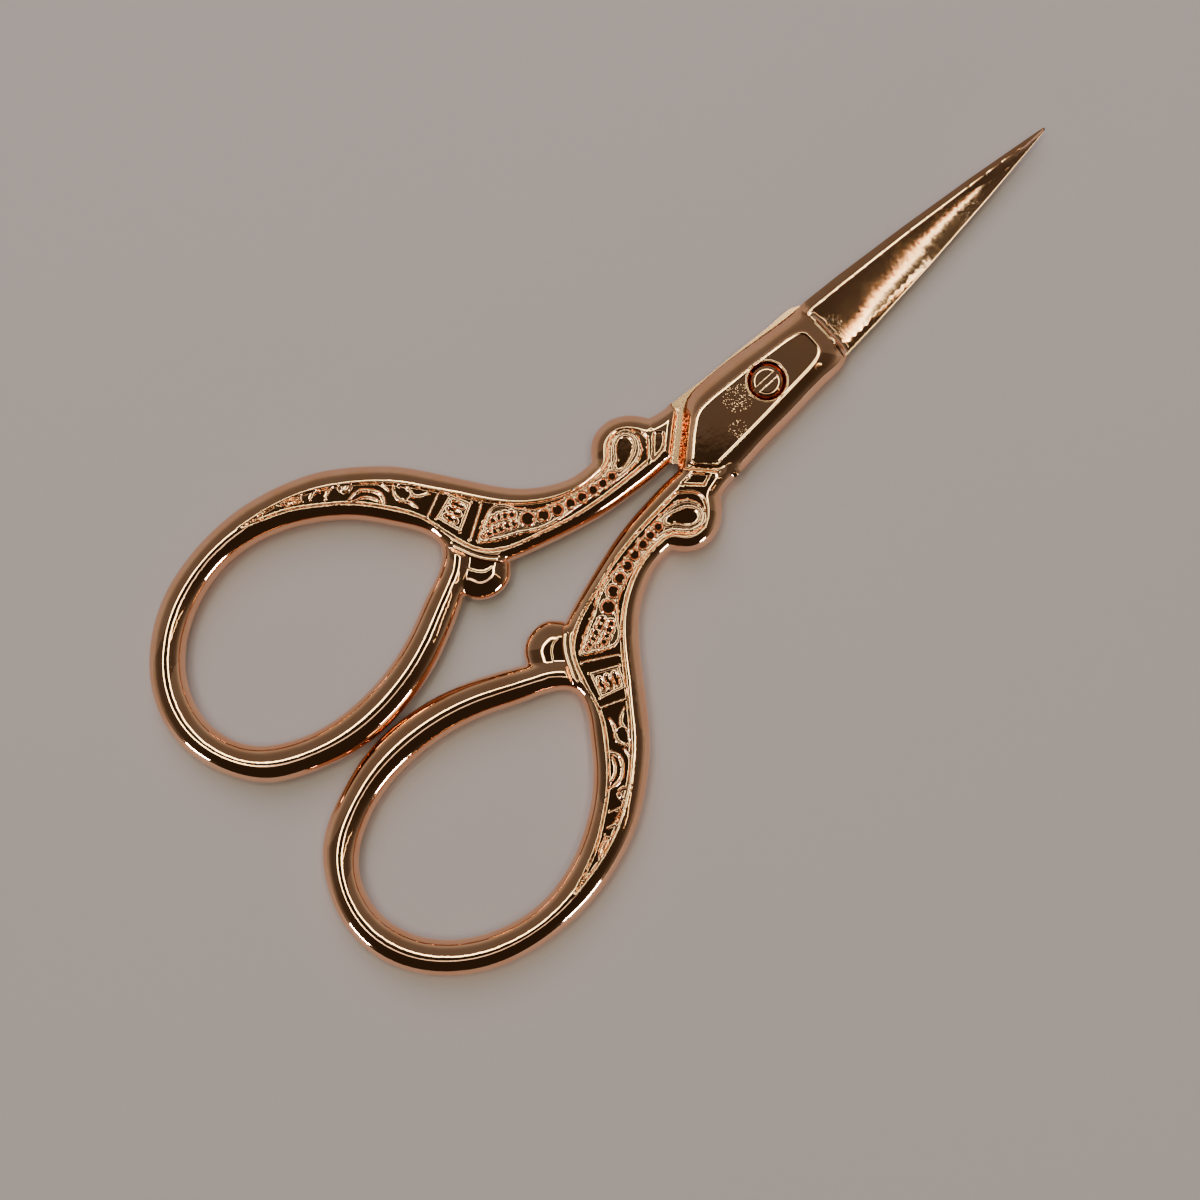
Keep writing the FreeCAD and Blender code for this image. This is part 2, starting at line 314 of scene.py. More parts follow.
TOP_RING = rounded_ring(PLATE_TOP, 0.2, 0.5)


# ---- ornaments ----
def ridge(p, line, width, closed=False):
    """Round-topped ridge, 1 on the line and 0 from width away."""
    out = np.zeros(len(p))
    near = near_box(p, line, width)
    out[near] = np.sqrt(np.clip(1 - (distance(p[near], line, closed) / width) ** 2, 0, 1))
    return out


def plateau(p, ring, edge):
    """1 inside a ring, falling to 0 over the edge width at its border."""
    out = np.zeros(len(p))
    near = near_box(p, ring, edge)
    out[near] = smooth(depth_in(p[near], ring) / edge + 0.5)
    return out


def oval(centre, a, b, turn, n=20):
    """Ellipse with half axes a and b, the first turned from X by an angle."""
    t = np.linspace(0, 2 * math.pi, n, endpoint=False)
    c, s = math.cos(turn), math.sin(turn)
    x, y = a * np.cos(t), b * np.sin(t)
    return np.column_stack([centre[0] + c * x - s * y, centre[1] + s * x + c * y])


def grain(p):
    """Cast grain, 0 to 1, a few tenths of a millimetre across."""
    x, y = p.T
    a = np.sin(13.1 * x + 2.3 * np.sin(9.7 * y)) * np.sin(14.9 * y + 2.1 * np.sin(11.3 * x))
    b = np.sin(23.7 * x - 8.1 * y + 1.9 * np.sin(17.3 * y)) * np.sin(21.1 * y + 9.4 * x)
    return 0.5 + 0.32 * a + 0.18 * b


BAND = np.vstack([
    spline([
        (7.35, -31.05), (6.2, -29.4), (5.3, -27.6), (4.35, -26.0), (3.6, -22.8), (3.0, -18.4),
        (2.75, -14.9), (3.3, -13.55), (4.3, -12.95), (5.4, -13.05), (6.0, -13.8), (5.95, -14.8),
        (5.4, -15.7), (4.55, -16.5), (4.15, -17.5), (4.2, -19.4), (4.85, -22.4), (6.0, -25.1),
        (7.3, -26.3)], 0.15)[:-1],
    spline([(7.3, -26.3), (8.75, -27.3), (8.95, -27.9), (8.5, -29.3)], 0.15)[:-1],
    straight([(8.5, -29.3), (7.6, -30.95), (7.35, -31.05)], 0.15)[:-1]])
TEAR = spline([
    (3.35, -16.6), (3.35, -15.2), (3.85, -13.95), (4.7, -13.45), (5.45, -13.75), (5.5, -14.5),
    (4.95, -15.35), (4.2, -15.95), (3.8, -16.6)], 0.12, True)
# round hollows with raised rings: (x, y, radius)
BEADS = [
    (3.33, -17.3, 0.34), (3.42, -18.4, 0.36), (3.58, -19.55, 0.38), (3.78, -20.8, 0.41),
    (4.08, -22.05, 0.42), (4.5, -23.4, 0.45), (5.02, -24.75, 0.49), (5.8, -26.1, 0.57)]
DOTS = [
    (6.38, -27.45, 0.29), (6.62, -28.05, 0.30), (6.86, -28.65, 0.30), (7.08, -29.25, 0.28),
    (7.28, -29.80, 0.25), (7.42, -30.30, 0.18), (7.16, -26.98, 0.27), (7.50, -27.52, 0.29),
    (7.80, -28.08, 0.29), (8.0, -28.66, 0.27), (8.05, -29.22, 0.20)]
RING_OUT, HOLLOW_OUT = 0.14, 0.04  # their rings and hollows stand this far outside the radius
BARS = [((9.9, -28.5), (8.1, -31.55), 0.17), ((13.5, -30.85), (12.5, -33.25), 0.17)]
WINDOW = np.array([(10.65, -29.2), (12.6, -30.1), (11.85, -32.55), (9.35, -31.75)])
SCROLLS = [                        # plain waves, arcs and strokes: (line, half width)
    ([(14.1, -31.6), (14.5, -32.5), (15.2, -32.9), (15.9, -32.6), (16.6, -33.1)], 0.16),
    ([(13.9, -33.3), (14.9, -33.5), (15.5, -34.1), (16.2, -34.2), (16.9, -33.8)], 0.16),
    ([(15.2, -32.9), (15.1, -33.6)], 0.14),
    ([(16.4, -35.3), (17.2, -35.0), (18.2, -35.5), (19.0, -36.6), (18.95, -37.7)], 0.17),
    ([(16.8, -35.6), (17.6, -35.9), (18.3, -36.7), (18.5, -37.5)], 0.13),
    ([(17.0, -34.2), (18.0, -34.3), (19.1, -35.1), (19.9, -36.0)], 0.14),
    ([(20.6, -39.3), (21.4, -37.9), (21.9, -38.3)], 0.15),
    ([(21.5, -40.5), (22.2, -39.3), (22.6, -39.8)], 0.15),
    ([(21.1, -38.6), (21.7, -39.8)], 0.12),
    ([(22.0, -41.2), (22.7, -40.9), (23.2, -42.0), (23.55, -43.6)], 0.15),
    ([(22.0, -41.2), (22.6, -42.6), (23.5, -43.5)], 0.13),
    ([(22.3, -41.3), (23.3, -43.1)], 0.12),
    ([(23.5, -44.7), (23.9, -45.3), (23.6, -45.9), (24.0, -46.4)], 0.12),
    ([(24.0, -47.4), (24.5, -47.6)], 0.10)]
DISC = (20.2, -37.1, 0.52)


def window_slit(share):
    """Oval hollow across the window, at a share of the way down it."""
    run = WINDOW[1] - WINDOW[0] + (WINDOW[2] - WINDOW[3] - WINDOW[1] + WINDOW[0]) * share
    middle = WINDOW[0] + (WINDOW[3] - WINDOW[0]) * share + run * 0.52
    return oval(middle, 0.70, 0.27, math.atan2(run[1], run[0]), 28)


SLITS = [window_slit(share) for share in (0.22, 0.5, 0.78)]


def arm_ornament(p):
    """Everything that stands in the relief panel, 0 to 1, and where it is grainy."""
    h, rough = np.zeros(len(p)), np.zeros(len(p))
    speck = grain(p)

    def add(value, height, grainy=0.0):
        np.maximum(h, value * height, out=h)
        if grainy:
            np.maximum(rough, value * grainy, out=rough)

    def cut(value):
        np.minimum(h, 1 - value, out=h)
        np.minimum(rough, 1 - value, out=rough)

    add(plateau(p, BAND, 0.16) * (0.48 + 0.06 * speck), 1.0)
    rough[:] = plateau(p, BAND, 0.16)
    add(ridge(p, BAND, 0.13, True), 0.85, 0.8)
    for chain, height in ((BEADS, 1.0), (DOTS, 0.78)):
        for x, y, radius in chain:
            add(ridge(p, oval((x, y), radius + RING_OUT, radius + RING_OUT, 0, 24), 0.10, True), height)
    for x, y, radius in BEADS + DOTS:
        cut(plateau(p, oval((x, y), radius + HOLLOW_OUT, radius + HOLLOW_OUT, 0, 24), 0.10))
    cut(plateau(p, TEAR, 0.16))
    add(ridge(p, TEAR, 0.15, True), 1.0)
    for start, end, width in BARS:
        add(ridge(p, straight([start, end], 0.5), width) * (0.88 + 0.12 * speck), 0.95, 1.0)
    add(plateau(p, WINDOW, 0.16) * 0.55, 1.0, 0.8)
    add(ridge(p, WINDOW, 0.14, True), 0.9, 0.6)
    for slit in SLITS:
        add(ridge(p, slit, 0.10, True), 1.0)
        cut(plateau(p, slit, 0.09))
    for line, width in SCROLLS:
        line = spline(line, 0.12) if len(line) > 2 else line
        add(ridge(p, line, width) * (0.88 + 0.12 * speck), 0.9, 0.9)
    x, y, radius = DISC
    add(plateau(p, oval((x, y), radius, radius, 0), 0.14) * (0.45 + 0.15 * speck), 1.0, 1.0)
    add(ridge(p, oval((x, y), radius, radius, 0), 0.12, True), 0.9, 0.7)
    return h, rough


# ---- heights ----
def handle_height(p):
    """Arm, bulge, knob and bow: height over the mating plane, before relief."""
    outer, hole = distance(p, HANDLE_EDGE), distance(p, HOLE, True)
    width = (outer + hole) / 2
    wire = 1.95                    # half width up to which the section is fully round
    blend = np.clip((3.2 - width) / 1.25, 0, 1)
    radius = np.where(width < wire, width, ARM_ROUND + (wire - ARM_ROUND) * blend)
    h = SIDE_FLAT + (TOP - SIDE_FLAT) * quarter(np.minimum(outer, hole) / radius)
    # under the arm's shoulder: knob and the top of the bow's wire, with a crease between
    near = near_box(p, KNOB_ROOM, 1.2)
    q, base = p[near], h[near]
    room = inside(q, KNOB_ROOM)
    edge = distance(q, SHOULDER_LINE)
    over = np.where(room, -edge, edge)
    tube_d = distance(q, spline(TUBE, 0.15))
    tube_round = np.sqrt(np.clip(1 - (tube_d / TUBE_R) ** 2, 0, 1))
    tube = SIDE_FLAT + (TOP - 0.06 - SIDE_FLAT) * tube_round
    knob = SIDE_FLAT + (TOP - 0.40 - SIDE_FLAT) * quarter(outer[near] / 2.2)
    facet = smooth(depth_in(q, KNOB_FACET) / 0.14)
    knob = knob * (1 - facet) + (TOP - 0.46) * facet
    low = -soft_min(-np.where(q[:, 1] > -36.0, knob, 0), -tube, 0.09)
    fade = smooth((q[:, 1] + 36.6) / 1.2)
    low = np.minimum(low * fade + base * (1 - fade), base)
    low = np.minimum(low, np.where(edge < 0.3, TOP - 0.30 + 0.25 * smooth(edge / 0.3), TOP))
    # collar: a rounded ridge along the shoulder, with a groove behind it
    collar = TOP - 0.12 + 0.11 * np.sqrt(np.clip(1 - ((over - 0.27) / 0.25) ** 2, 0, 1))
    behind = TOP - 0.12 + 0.12 * smooth((over - 0.5) / 0.16)
    collar = np.where(over > 0.46, np.maximum(collar, behind), collar)
    up = smooth((over + 0.05) / 0.12)
    span = smooth((q[:, 0] - 3.6) / 0.5) * smooth((9.9 - q[:, 0]) / 0.6)
    arm = np.minimum(base, collar * span + base * (1 - span))
    h[near] = np.where(over < -0.06, low, np.where(over > 0.08, arm, low * (1 - up) + arm * up))
    return h


def plate_height(p):
    """Pivot plate: flat panel with a fine raised rim, and slopes that curve down to the sides."""
    out = -depth_in(p, TOP_RING)
    rim = np.minimum(distance(p, PLATE_EDGE), distance(p, PLATE_EDGE_R))
    t = np.clip(out / np.maximum(out + rim, 1e-3), 0, 1)
    side = TOP - 1.62 * (SLOPE_START * t + (1 - SLOPE_START) * t ** 3) - 0.05 * smooth((out - 0.04) / 0.16)
    end = TOP - 0.36 * np.maximum(p[:, 1] - 5.98, 0)           # towards the blade
    no_rim = smooth((side_of(p, PLATE_END) + 0.95) / 0.3)       # the rim stops at the bolster
    panel = TOP - RIM_LIP * np.maximum(smooth((-out - 0.03) / 0.22), no_rim)
    soft = 0.05 * smooth(out / 0.4) + 1e-4
    return np.where(out <= 0, panel, soft_min(side, end, soft))


def blade_height(p):
    """Spine band, softly rounded ridge and hollow-ground face."""
    half, ridge_x, ridge_h, spine_h = blade_at(p[:, 1])
    edge_x = half - EDGE_INSET * half / BLADE[0][1]
    s = np.clip((p[:, 0] + half) / np.maximum(ridge_x + half, 1e-3), 0, 1)
    spine = spine_h + (ridge_h - spine_h) * (0.45 * s + 0.55 * np.sin(s * math.pi / 2))
    strip = np.minimum(0.32, (edge_x - ridge_x) * 0.25)
    strip_h = 0.26 * ridge_h / 1.4
    f = (p[:, 0] - ridge_x) / np.maximum(edge_x - strip - ridge_x, 1e-3)
    g = np.clip(f, 0, 1)
    hollow = 0.42 * ridge_h / 1.4
    ground = ridge_h + (strip_h - ridge_h) * f - np.where(f < 0, hollow * f, hollow * g * (1 - g))
    g = np.clip((p[:, 0] - edge_x + strip) / strip, 0, 1)
    ground = np.where(g > 0, strip_h + (EDGE_LAND - strip_h) * g, ground)
    soft = RIDGE_ROUND * np.clip(ridge_h, 0.3, 1)
    return soft_min(spine, ground, soft)


def relief(p, h, mark):
    """Sink the panel and stand the ornament in it."""
    h = h.copy()
    near = near_box(p, PANEL_RING, 0.5)
    q = p[near]
    deep = depth_in(q, PANEL_RING)
    stand, rough = arm_ornament(q)
    room = smooth((deep - 0.02) / 0.2)
    sunk = RECESS * smooth(deep / 0.24)
    lip = 0.035 * np.exp(-((deep + 0.05) / 0.10) ** 2)
    h[near] = np.minimum(h[near] - np.maximum(sunk - stand * room * (RECESS - 0.03), 0) + lip, TOP)
    mark["grainy"][near] = np.maximum(mark["grainy"][near], rough * room)
    return h


def bolster_top(h, p, past):
    """Framed facet beside the relief panel, with a bar and a groove along the pivot plate."""
    deep = depth_in(p, np.array(BOLSTER))
    h = h - 0.24 * smooth((deep - 0.02) / 0.2) + 0.03 * np.exp(-((deep + 0.08) / 0.09) ** 2)
    bar = TOP - GROOVE + GROOVE * np.sqrt(np.clip(1 - ((past - 0.14) / 0.16) ** 2, 0, 1))
    bar = np.maximum(bar, np.where(past > 0.14, TOP - 0.10 + 0.10 * smooth((past - 0.28) / 0.08), 0))
    return np.where(past < 0.36, np.minimum(bar, TOP), np.minimum(h, TOP))


def top_height(p, mark):
    """Outer face of the half."""
    arm = relief(p, handle_height(p), mark)
    plate = plate_height(p)
    past = side_of(p, PLATE_END)
    # across its flat top the plate stops at a steep wall; down its sides the two run together
    inner = smooth((3.55 - p[:, 0]) / 0.4) * smooth((p[:, 0] - 0.5) / 0.3)
    wall = np.clip((past + 0.42) / 0.40, 0, 1)
    slope = smooth((past + 0.9) / 1.8)
    stepped = plate * (1 - wall) + bolster_top(arm, p, past) * wall
    flowing = plate * (1 - slope) + arm * slope
    body = stepped * inner + flowing * (1 - inner)
    body = np.where(p[:, 1] < -13.9, arm, np.where(p[:, 1] > -7.3, plate, body))
    blade = blade_height(p)
    mark["ground"][:] = (p[:, 0] > blade_at(p[:, 1])[1]) & (p[:, 1] > 7.5)
    # the ledge above the ground face, then the grinding wheel's run-out
    root = smooth((p[:, 0] + 2.75) / 0.5)
    fillet = np.clip(1 - (p[:, 1] - ROOT_Y) / 0.48, 0, 1) ** 2
    step = np.maximum(np.minimum(1.40, body + 0.16), np.minimum(blade, 1.40))
    lip = step - 0.16 + 0.16 * np.sqrt(np.clip(1 - (np.maximum(7.40 - p[:, 1], 0) / 0.15) ** 2, 0, 1))
    ledge = np.where(p[:, 1] > 7.25, np.maximum(body, lip), body)
    on_ground = np.where(p[:, 1] < ROOT_Y, ledge, blade + np.maximum(step - blade, 0) * fillet)
    ease = smooth((p[:, 1] - 6.6) / 1.8)
    on_spine = body * (1 - ease) + blade * ease
    h = on_ground * root + on_spine * (1 - root)
    return np.where(p[:, 1] > 6.6, np.where(p[:, 1] > 8.5, blade, h), body)


def wall_depth(p):
    """Signed distance past the step wall, positive in the handle."""
    a = side_of(p, WALL[:2])
    b = side_of(p, WALL[1:])
    return -np.maximum(a, b)


def bottom_height(p, mark):
    """Inner face: flat on blade and plate, relief on the handle past the step wall."""
    deep = wall_depth(p)
    arm = relief(p, handle_height(p), mark)
    wall = 1.15 * smooth((deep - 0.02) / 0.10) + (TOP - 1.15) * quarter((deep - 0.10) / 0.75)
    facet = depth_in(p, spline(INNER_RING, 0.1))
    arm = arm - 0.22 * smooth(facet / 0.2)
    bar = ridge(p, np.array(INNER_BAR), 0.25)
    arm = np.where(deep > 0.9, np.minimum(arm + 0.25 * bar * (arm < TOP - 0.02), TOP), arm)
    h = np.where(deep > 0, np.minimum(arm, np.maximum(wall, -MATE_GAP)), -MATE_GAP)
    h = np.where(p[:, 1] > -8.0, -MATE_GAP, h)
    mark["mating"][:] = h <= -MATE_GAP + 1e-6
    mark["grainy"][h <= -MATE_GAP + 1e-6] = 0
    return h


# ---- plan points and mesh ----
def inward(line, closed):
    """Unit normals to the right of travel along the line."""
    a = np.roll(line, 1, 0) if closed else np.vstack([line[:1], line[:-1]])
    b = np.roll(line, -1, 0) if closed else np.vstack([line[1:], line[-1:]])
    run = b - a
    run /= np.linalg.norm(run, axis=1)[:, None]
    return np.column_stack([run[:, 1], -run[:, 0]])


def rows_along(line, depths, closed=False, flip=1):
    """Points at set distances to the right of a line."""
    n = inward(line, closed) * flip
    return [line + n * d for d in depths]


def grid(box, step):
    """Even triangular grid over a box."""
    x0, y0, x1, y1 = box
    rows = []
    for k, y in enumerate(np.arange(y0, y1, step * math.sqrt(3) / 2)):
        xs = np.arange(x0 + (k % 2) * step / 2, x1, step)
        rows.append(np.column_stack([xs, np.full(len(xs), y)]))
    return np.vstack(rows)


def thin_out(points, gap):
    """Keeps the first point in each cell of an even grid."""
    cell = np.floor(points / gap).astype(np.int64)
    row = 100003                   # larger than any cell's number along Y
    first = np.unique(cell[:, 0] * row + cell[:, 1], return_index=True)[1]
    return points[np.sort(first)]


def relief_rows():
    """Points on the crests and feet of the panel's border and of every ornament."""
    step = 0.085
    rows = rows_along(PANEL_RING, (-0.15, -0.08, 0.0, 0.06, 0.12, 0.18, 0.24), True)
    for start, end, width in BARS:
        rows += rows_along(straight([start, end], step), (-width, -0.6 * width, 0, 0.6 * width, width))
    for line, width in SCROLLS:
        line = spline(line, step) if len(line) > 2 else straight(line, step)
        rows += rows_along(line, (-width, -0.6 * width, 0, 0.6 * width, width))
    for ring in (BAND, TEAR):
        rows += rows_along(ring, (-0.15, -0.08, 0, 0.08, 0.15), True)
    for x, y, radius in BEADS + DOTS:
        corners = max(12, int(radius * 60))
        rows += [oval((x, y), radius + d, radius + d, 0, corners) for d in (-0.02, 0.06, 0.13, 0.22)]
    for ring in SLITS:
        rows += rows_along(ring, (-0.08, 0.0, 0.07), True)
    window = straight([tuple(v) for v in WINDOW] + [tuple(WINDOW[0])], step)[:-1]
    rows += rows_along(window, (-0.14, -0.07, 0, 0.07, 0.14), True)
    rows += [oval(DISC[:2], DISC[2] + d, DISC[2] + d, 0, 36) for d in (-0.1, 0.0, 0.1)]
    return np.vstack(rows)


def plan_points(lower):
    """Points inside the outline for one face of the half."""
    slopes = (8, 17, 26, 35, 45, 55, 66, 78, 90)
    rounding = [ARM_ROUND * (1 - math.cos(math.radians(a))) for a in slopes] + [1.6, 1.7, 1.8, 1.9]
    sets = []
    around = rows_along(HANDLE_EDGE, rounding) + rows_along(HOLE, rounding, True)
    for row, depth in zip(around, rounding + rounding):
        row = row[row[:, 1] < (-8 if depth < 1.55 else -35.5)]
        d = np.minimum(distance(row, HANDLE_EDGE), distance(row, HOLE, True))
        row = row[(d > depth * 0.985 - 0.002) & inside(row, OUTLINE) & ~inside(row, HOLE)]
        row = row[depth_in(row, PANEL_RING) < -0.12]
        sets.append(row)
    relief_grid = grid((1.5, -48.2, 25.0, -11.5), RELIEF_STEP)
    relief_grid = relief_grid[depth_in(relief_grid, PANEL_RING) > -0.14]
    rows = thin_out(relief_rows(), 0.045)
    relief_grid = np.vstack([rows, spaced_fill(rows, relief_grid, 0.058)])
    knob_grid = grid((2.0, -37.6, 10.2, -29.2), 0.13)
    knob_grid = knob_grid[depth_in(knob_grid, KNOB_ROOM) > -0.8]
    knob_rows = rows_along(spline(TUBE, 0.12), np.linspace(-1.5, 1.5, 26))
    knob_rows += rows_along(KNOB_LINE, (-0.16, -0.09, -0.03, 0.03, 0.09, 0.16))
    knob_rows = np.vstack(knob_rows)
    knob_rows = thin_out(knob_rows[depth_in(knob_rows, KNOB_ROOM) > 0.05], 0.06)
    knob_grid = np.vstack([knob_rows, spaced_fill(knob_rows, knob_grid, 0.09)])
    shoulder = rows_along(
        SHOULDER_LINE, (-0.55, -0.45, -0.36, -0.27, -0.18, -0.10, -0.05, 0.0, 0.06, 0.14, 0.25))
    head_grid = grid((0.2, -13.9, 4.2, -8.4), 0.085)
    if lower:
        wall = straight(WALL, 0.25)
        sets += rows_along(wall, (0.0, 0.03, 0.07, 0.12, 0.2, 0.35, 0.55, 0.8))
    else:
        sets += rows_along(
            TOP_RING, (-0.26, -0.18, -0.1, -0.04, 0.0, 0.04, 0.1, 0.16, 0.22, 0.28, 0.36), True)
        sets += [circle(r) for r in (2.09, 2.17, 2.28, 2.42)]
        end = straight([(3.75, -8.64), (0.3, -11.86)], 0.12)
        sets += rows_along(end, (
            0.46, 0.42, 0.36, 0.28, 0.19, 0.11, 0.05, 0.02, -0.01, -0.06, -0.14, -0.22, -0.28, -0.33, -0.38))
        ys = np.linspace(7.7, TIP_Y - 0.4, 90)
        half, ridge_x, _, _ = blade_at(ys)
        edge = half - EDGE_INSET * half / BLADE[0][1]
        crests = [ridge_x + d for d in (-0.20, -0.13, -0.07, -0.02, 0.03, 0.08, 0.15)]
        for x in crests + [edge - np.minimum(0.32, (edge - ridge_x) * 0.25)]:
            sets.append(np.column_stack([x, ys]))
        xs = np.linspace(-3.1, 3.1, 40)
        for y in (7.1, 7.24, 7.26, 7.29, 7.34, 7.40, 7.54, 7.56, 7.64, 7.72, 7.8, 7.9, 8.02):
            sets.append(np.column_stack([xs, np.full(len(xs), y)]))
    fine = np.vstack(sets + shoulder)
    coarse = grid((-4.5, -66.5, 26.5, TIP_Y), 0.45)
    plate_grid = grid((-4.5, -12.5, 5.2, 8.2), 0.28)
    fill = np.vstack([knob_grid, head_grid, plate_grid, coarse])
    d = np.minimum(distance(fill, OUTLINE, True), distance(fill, HOLE, True))
    fill = fill[inside(fill, OUTLINE) & ~inside(fill, HOLE) & (d > 0.12)]
    fill = fill[depth_in(fill, PANEL_RING) < -0.15]
    fine = fine[inside(fine, OUTLINE) & ~inside(fine, HOLE)]
    edge_d = np.minimum(distance(fine, OUTLINE, True), distance(fine, HOLE, True))
    fine = fine[edge_d > 0.012]
    fine = thin_out(np.vstack([relief_grid, fine]), 0.035)
    return np.vstack([fine, spaced_fill(fine, fill, 0.11)])


def triangulate(loops, points):
    """Triangles over the plan, inside the first loop and outside the others."""
    verts = np.vstack(loops + [points])
    edges, start = [], 0
    for loop in loops:
        n = len(loop)
        edges += [(start + k, start + (k + 1) % n) for k in range(n)]
        start += n
    out = delaunay_2d_cdt([Vector(v) for v in verts], edges, [], 0, 1e-6)
    plan = np.array([tuple(v) for v in out[0]])
    tris = np.array(out[2])
    place = {}
    for k, sources in enumerate(out[3]):
        for source in sources:
            if source < start:
                place[source] = k
                plan[k] = verts[source]
    marks, start = [], 0
    for loop in loops:
        marks.append([place[start + k] for k in range(len(loop))])
        start += len(loop)
    middle = plan[tris].mean(1)
    keep = inside(middle, loops[0])
    for loop in loops[1:]:
        keep &= ~inside(middle, loop)
    tris = tris[keep]
    p, q, r = (plan[tris[:, k]] for k in range(3))
    turn = (q[:, 0] - p[:, 0]) * (r[:, 1] - p[:, 1]) - (q[:, 1] - p[:, 1]) * (r[:, 0] - p[:, 0])
    has_area = np.abs(turn) > 2e-6
    tris, turn = tris[has_area], turn[has_area]
    tris[turn < 0] = tris[turn < 0][:, ::-1]
    used = np.zeros(len(plan), bool)
    used[tris] = True
    new = np.cumsum(used) - 1
    return plan[used], new[tris], [[int(new[k]) for k in mark] for mark in marks]


def circle(radius, n=RING_STEPS):
    """Points round a circle about the pivot."""
    t = np.linspace(0, 2 * math.pi, n, endpoint=False)
    return np.column_stack([radius * np.cos(t), radius * np.sin(t)])


def spaced_fill(fine, fill, gap):
    """The coarse points that keep their distance from the fine ones."""
    tree = KDTree(len(fine))
    for k, (x, y) in enumerate(fine):
        tree.insert((x, y, 0), k)
    tree.balance()
    return np.array([q for q in fill if tree.find((q[0], q[1], 0))[2] > gap])


def half_shell():
    """Both faces of a half and the strips between them, with open rings round the pivot."""
    verts, faces, marks, values = [], [], [], []
    base = 0
    for lower, radius in ((False, TOP_RING_R), (True, LOW_RING_R)):
        points = plan_points(lower)
        points = points[np.hypot(points[:, 0], points[:, 1]) > radius + RING_CLEAR]
        plan, tris, loops = triangulate([OUTLINE, HOLE, circle(radius)], points)
        value = {name: np.zeros(len(plan)) for name in MARKS}
        if lower:
            tris = tris[:, ::-1]
            z = MID_Z - bottom_height(plan, value)
        else:
            z = MID_Z + top_height(plan, value)
        values.append(value)
        verts.append(np.column_stack([plan, z]))
        faces += (tris + base).tolist()
        marks.append([[k + base for k in loop] for loop in loops])
        base += len(plan)
    for up, down in zip(marks[0][:2], marks[1][:2]):
        for k in range(len(up)):
            m = (k + 1) % len(up)
            faces.append([up[k], up[m], down[m], down[k]])
    value = {mark: np.concatenate([v[mark] for v in values]) for mark in MARKS}
    return np.vstack(verts), faces, marks[0][2], marks[1][2], value


def shaded(name, verts, faces):
    """Mesh from points in millimetres, with its faces turned outwards."""
    mesh = bpy.data.meshes.new(name)
    mesh.from_pydata((verts * MM).tolist(), [], faces)
    turner = bmesh.new()
    turner.from_mesh(mesh)
    bmesh.ops.recalc_face_normals(turner, faces=turner.faces)
    turner.to_mesh(mesh)
    turner.free()
    mesh.polygons.foreach_set("use_smooth", np.ones(len(mesh.polygons), bool))
    mesh.set_sharp_from_angle(angle=math.radians(SHARP))
    return mesh


def vertex_mark(mesh, name, values):
    layer = mesh.attributes.new(name, "FLOAT", "POINT")
    layer.data.foreach_set("value", np.asarray(values, np.float32))


def half_mesh(name, half, bore_profile, turned=False):
    """Watertight mesh of a half.  bore_profile runs down the pivot hole as (radius, z)."""
    shell, shell_faces, first, last, values = half
    verts, faces = [shell], list(shell_faces)
    base = len(shell)
    rings = [first]
    for radius, z in bore_profile:
        rings.append(list(range(base, base + RING_STEPS)))
        verts.append(np.column_stack([circle(radius), np.full(RING_STEPS, z)]))
        base += RING_STEPS
    rings.append(last)
    for a, b in zip(rings, rings[1:]):
        for k in range(RING_STEPS):
            m = (k + 1) % RING_STEPS
            faces.append([a[m], a[k], b[k], b[m]])
    place = np.vstack(verts)
    if turned:
        place[:, 0] = -place[:, 0]
        place[:, 2] = THICK - place[:, 2]
    mesh = shaded(name, place, faces)
    rings_z = np.repeat([z for _, z in bore_profile], RING_STEPS)
    for mark in MARKS:
        # painted shade: bore rings below the panel are marked so the material darkens them
        rest = (rings_z < PANEL_Z - 0.03) * 1.0 if mark == "bore" else np.zeros(len(rings_z))
        vertex_mark(mesh, mark, np.concatenate([values[mark], rest]))
    return mesh


